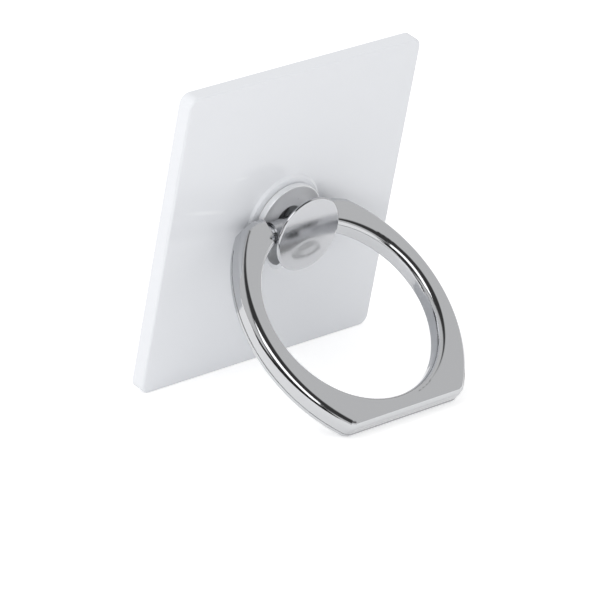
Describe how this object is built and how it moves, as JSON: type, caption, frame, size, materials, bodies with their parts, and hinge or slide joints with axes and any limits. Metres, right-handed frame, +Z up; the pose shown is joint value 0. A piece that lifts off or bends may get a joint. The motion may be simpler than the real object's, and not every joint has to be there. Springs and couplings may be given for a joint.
{
  "type": "phone ring holder",
  "caption": "Finger ring and stand for the back of a phone: a square plate with an adhesive pad, a swivelling folded hub and a tilting cast ring with a flat foot.",
  "frame": {"origin": "on the ground, in the middle of the outer box: the part stands on the plate's front lower edge and on the ring's foot", "axes": "+Z up, -Y from the plate towards the ring's foot, +X to the right as seen from the front; the middle plane is X = 0"},
  "size_m": [0.035, 0.0276, 0.0375],
  "materials": {
    "plate": "glossy",
    "pad": "matte",
    "glide": "matte",
    "steel": "satin",
    "hub": "polished",
    "sleeve": "satin",
    "ring": "polished"
  },
  "bodies": {
    "base": {"base_plate": "plate", "adhesive_pad": "pad"},
    "swivel": {"glide_washer": "glide", "spring_washer": "steel", "back_washer": "steel", "hub_clamp": "hub", "hub_cap": "hub", "friction_sleeve": "sleeve"},
    "ring": {"finger_ring": "ring"}
  },
  "joints": [
    {"name": "swivel_turn", "type": "hinge", "parent": "base", "child": "swivel", "pos_m": [0, 0.00925, 0.0189], "axis": [0, -0.9778, -0.2094], "continuous": true},
    {"name": "ring_tilt", "type": "hinge", "parent": "swivel", "child": "ring", "pos_m": [0, 0.00514, 0.01802], "axis": [-1, 0, 0], "range_deg": [-59, 121]}
  ]
}
